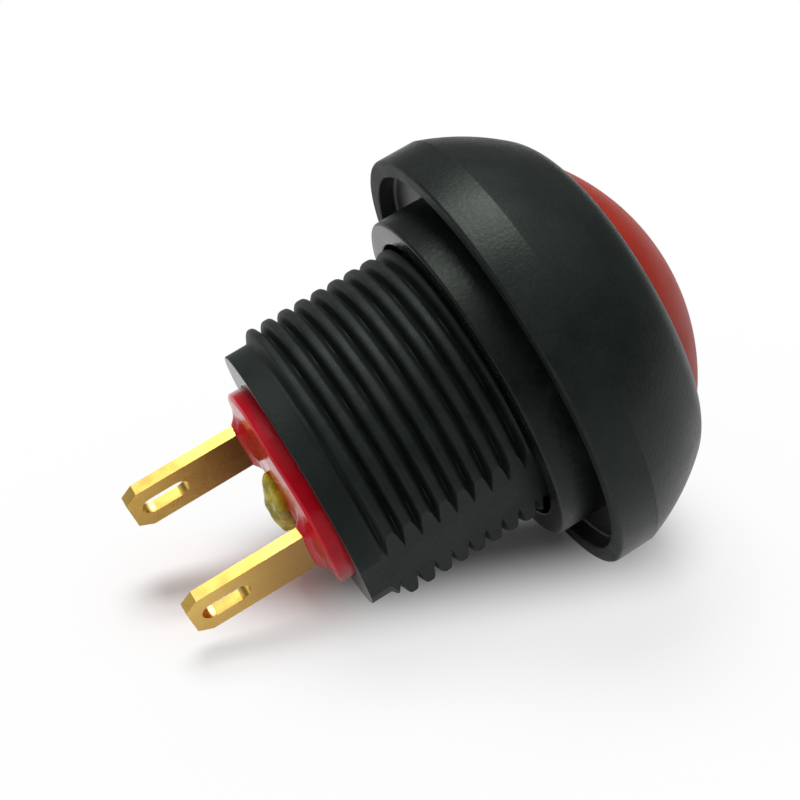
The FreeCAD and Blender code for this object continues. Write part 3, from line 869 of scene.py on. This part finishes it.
def plain_metal(name, dark, bright, smoothest):
    """Drawn or stamped metal of the inner pieces."""
    material, tree, shader = new_finish(name, Metallic=1.0)
    dullest = smoothest + 0.12
    lines = place_group(tree, DRAWN, Line_size=12000.0, Length_ratio=0.2)
    body = mix_colour(tree, lines["Mask"], bright, dark)
    roughness = spread(tree, lines["Height"], low=0.3, high=0.7, new_low=smoothest, new_high=dullest)
    cover(tree, shader, body, roughness, bump(tree, lines["Height"], depth=0.003))
    return material


def plain_moulding(name, dark, bright):
    """Dull plastic of the inner pieces."""
    material, tree, shader = new_finish(name, IOR=1.5)
    grain = place_group(tree, GRAIN, Grain_size=5000.0)
    body = mix_colour(tree, grain["Unevenness"], dark, bright)
    roughness = between(tree, grain["Unevenness"], low=0.38, high=0.5)
    cover(tree, shader, body, roughness, bump(tree, grain["Height"], depth=0.008))
    return material


FINISHES = {
    "black_moulding": black_moulding(),
    "black_rubber": black_rubber(),
    "red_cap": red_cap(),
    "red_resin": red_resin(),
    "gilt_brass": gilt_brass(),
    "olive_lacquer": olive_lacquer(),
    "spring_steel": plain_metal("spring_steel", (0.30, 0.30, 0.31, 1), (0.52, 0.52, 0.53, 1), 0.25),
    "silvered_copper": plain_metal("silvered_copper", (0.62, 0.58, 0.52, 1), (0.80, 0.77, 0.72, 1), 0.22),
    "contact_silver": plain_metal("contact_silver", (0.70, 0.69, 0.66, 1), (0.88, 0.87, 0.84, 1), 0.18),
    "pale_moulding": plain_moulding("pale_moulding", (0.55, 0.52, 0.44, 1), (0.66, 0.63, 0.55, 1)),
    "brown_moulding": plain_moulding("brown_moulding", (0.075, 0.035, 0.018, 1), (0.11, 0.055, 0.03, 1)),
}


# Pieces in place

def dress(piece, finish):
    piece.data.materials.clear()
    piece.data.materials.append(FINISHES[finish])


def stand_for(piece, node, body, finish):
    """Shows a piece in place of a solid."""
    dress(piece, finish)
    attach(piece, body)
    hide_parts(node)


def dab_lump(point):
    """Share by which the dab swells at a point of the ball it is made from: two slow swells and a ripple."""
    long_swell = 0.16 * math.sin(3.1 * point.x + 0.4)
    cross_swell = 0.10 * math.sin(5.3 * point.y + 1.1 + 2 * point.x)
    ripple = 0.07 * math.sin(11 * point.x + 4 * point.z) * math.sin(8 * point.y + 0.5)
    return 1 + long_swell + cross_swell + ripple


def make_dab():
    shape = bmesh.new()
    bmesh.ops.create_uvsphere(shape, u_segments=DAB_SEGMENTS, v_segments=DAB_RINGS, radius=1.0)
    centre = Vector((*DAB_PLACE, RESIN_END - DAB_LIFT))
    along = Vector((DAB_LEAN, 1.0, 0)).normalized()
    across = Vector((-along.y, along.x, 0))
    for vertex in shape.verts:
        point = vertex.co.copy()
        lump = dab_lump(point)
        place = centre + along * point.x * DAB_HALF_LENGTH * lump + across * point.y * DAB_HALF_WIDTH * lump
        vertex.co = place + Vector((0, 0, point.z * DAB_HALF_HEIGHT * lump))
    piece = finish_mesh("lacquer_dab", shape)
    dress(piece, "olive_lacquer")
    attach(piece, "switch_body")


stand_for(make_housing(), "housing", "switch_body", "black_moulding")
stand_for(make_gasket(), "panel_gasket", "switch_body", "black_rubber")
stand_for(make_resin(), "potting", "switch_body", "red_resin")
stand_for(make_cap(), "button_cap", "button", "red_cap")
make_dab()

return_coil = make_return_spring()
stand_for(return_coil, "return_spring", "switch_body", "spring_steel")
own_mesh(return_coil)
contact_coil = make_contact_spring()
stand_for(contact_coil, "contact_spring", "button", "spring_steel")
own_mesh(contact_coil)

# Solids that show as they are, with their finish and the width of their soft edges
SHOWN_SOLIDS = {
    "terminal_left": ("gilt_brass", 0.05),
    "terminal_right": ("gilt_brass", 0.05),
    "fixed_contact_left": ("contact_silver", 0.03),
    "fixed_contact_right": ("contact_silver", 0.03),
    "contact_disc": ("silvered_copper", 0.05),
    "plunger_stem": ("pale_moulding", 0.05),
    "stop_clip": ("spring_steel", 0.04),
    "disc_clip": ("spring_steel", 0.04),
    "seal_retainer": ("pale_moulding", 0.04),
    "stem_seal": ("black_rubber", 0.06),
    "terminal_base": ("brown_moulding", 0.04),
}
for node, (finish, width) in SHOWN_SOLIDS.items():
    dress(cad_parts[node], finish)
    soft_edges(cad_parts[node], width)


# Stage: the switch lies on its rim and barrel on a pale table
FLOOR_POINT = Vector((2.63, 6.75, -4.36))
FLOOR_UP = Vector((-0.3365, -0.8634, 0.376)).normalized()
TABLE_HALF_WIDTH = 400.0
TABLE_CARD = (0.88, 0.88, 0.88, 1)
CAMERA_PLACE = Vector((32.00, -52.38, -11.83))
CAMERA_RIGHT = Vector((0.4954, 0.1774, 0.8503)).normalized()
CAMERA_UP = Vector((-0.6916, -0.5117, 0.5097)).normalized()
CAMERA_LENS = 71.94
CAMERA_REACH = 10000
SENSOR = 36.0

# The shadow runs on both sides of a line under the barrel and the lugs; it is cast near the line, and a
# painted glow that lifts the table to white away from it paints its spread
AWAY = FLOOR_UP.cross(CAMERA_RIGHT).normalized()
SHADOW_TURN = math.radians(15)
SHADOW_LINE = CAMERA_RIGHT * math.cos(SHADOW_TURN) + AWAY * math.sin(SHADOW_TURN)
SHADOW_SHIFT = -2.4
SHADOW_HALF_LENGTH = 8.3
SHADOW_CORE = 0.3
SHADOW_EDGE = 6.0
SHADOW_FADE = 30.0
NEAR_GLOW = 0.78

# Lamp over the table
LAMP_HEIGHT = 168
LAMP_LEFT = 26
LAMP_BACK = 24
LAMP_WIDTH = 92
LAMP_WATTS = 0.25

# Light of the room: how far up a direction leans where it starts and stops growing, and its levels there
SOFT_LEAN = (-0.3, 0.7)
SOFT_LIGHT = (0.26, 0.42)
MIRRORED_LEAN = (0.5, 0.95)
MIRRORED_LIGHT = (0.2, 1.0)


def turned_to(right, up):
    """Rotation whose X is right and whose Y is up."""
    back = right.cross(up).normalized()
    return Matrix((right, back.cross(right), back)).transposed()


def make_camera():
    data = bpy.data.cameras.new("camera")
    data.lens = CAMERA_LENS
    data.sensor_width = SENSOR
    data.clip_start = MM
    data.clip_end = CAMERA_REACH * MM
    camera = bpy.data.objects.new("camera", data)
    turn = turned_to(CAMERA_RIGHT, CAMERA_UP).to_4x4()
    camera.matrix_world = Matrix.Translation(CAMERA_PLACE * MM) @ turn
    bpy.context.collection.objects.link(camera)
    bpy.context.scene.camera = camera


def table_finish():
    """Pale table that keeps the cast soft shadow near the line, fades to white through a painted glow that
    shapes the shadow's spread, and can't be seen from below.
    """
    material = bpy.data.materials.new("pale_table")
    material.use_nodes = True
    tree = material.node_tree
    tree.nodes.remove(tree.nodes["Principled BSDF"])
    axes = coordinate(tree, "Object")
    past_end = math_node(tree, "SUBTRACT", math_node(tree, "ABSOLUTE", axes["X"]), SHADOW_HALF_LENGTH * MM)
    along = math_node(tree, "MAXIMUM", past_end)
    offset = add_node(tree, "ShaderNodeCombineXYZ", X=along, Y=axes["Y"]).outputs[0]
    away = vector_node(tree, "LENGTH", offset)["Value"]
    near = spread(tree, away, SHADOW_CORE * MM, SHADOW_EDGE * MM, new_high=NEAR_GLOW)
    rest = spread(tree, away, SHADOW_EDGE * MM, SHADOW_FADE * MM, new_high=1 - NEAR_GLOW)
    fade = math_node(tree, "ADD", near, rest)
    seen = rays(tree, "Is Camera Ray", "Is Glossy Ray", "Is Transmission Ray")
    glow_share = math_node(tree, "MULTIPLY", fade, seen)
    card = add_node(tree, "ShaderNodeBsdfDiffuse", Color=TABLE_CARD).outputs[0]
    glow = add_node(tree, "ShaderNodeEmission", Color=WHITE, Strength=1.0).outputs[0]
    lit = mix_shader(tree, glow_share, card, glow)
    underside = add_node(tree, "ShaderNodeNewGeometry").outputs["Backfacing"]
    clear = add_node(tree, "ShaderNodeBsdfTransparent").outputs[0]
    one_sided = mix_shader(tree, underside, lit, clear)
    tree.links.new(one_sided, tree.nodes["Material Output"].inputs["Surface"])
    return material


def make_table():
    shape = bmesh.new()
    bmesh.ops.create_grid(shape, x_segments=1, y_segments=1, size=TABLE_HALF_WIDTH)
    table = finish_mesh("table", shape)
    turn = turned_to(SHADOW_LINE, FLOOR_UP.cross(SHADOW_LINE)).to_4x4()
    middle = FLOOR_POINT + SHADOW_LINE * SHADOW_SHIFT
    table.matrix_world = Matrix.Translation(middle * MM) @ turn
    table.data.materials.append(table_finish())


def make_lamp():
    """A square soft box that looks at the middle of the panel seat."""
    data = bpy.data.lights.new("top_box", "AREA")
    data.size = LAMP_WIDTH * MM
    data.energy = LAMP_WATTS
    lamp = bpy.data.objects.new("top_box", data)
    place = FLOOR_UP * LAMP_HEIGHT - CAMERA_RIGHT * LAMP_LEFT + AWAY * LAMP_BACK
    lamp.location = place * MM
    lamp.rotation_euler = (-place).to_track_quat("-Z", "Y").to_euler()
    bpy.context.collection.objects.link(lamp)


def make_world():
    """A white room that is brightest overhead, and plain white where the camera sees it."""
    world = bpy.data.worlds.new("white_room")
    bpy.context.scene.world = world
    world.use_nodes = True
    tree = world.node_tree
    direction = add_node(tree, "ShaderNodeTexCoord").outputs["Generated"]
    upward = vector_node(tree, "DOT_PRODUCT", direction, FLOOR_UP)["Value"]
    soft = spread(tree, upward, *SOFT_LEAN, *SOFT_LIGHT)
    mirrored = spread(tree, upward, *MIRRORED_LEAN, *MIRRORED_LIGHT)
    lit = mix_value(tree, rays(tree, "Is Glossy Ray", "Is Transmission Ray"), soft, mirrored)
    seen = math_node(tree, "MAXIMUM", lit, rays(tree, "Is Camera Ray"))
    background = tree.nodes["Background"].inputs
    tree.links.new(seen, background["Strength"])
    background["Color"].default_value = WHITE


make_camera()
make_table()
make_lamp()
make_world()
bpy.context.scene.view_settings.view_transform = "Standard"
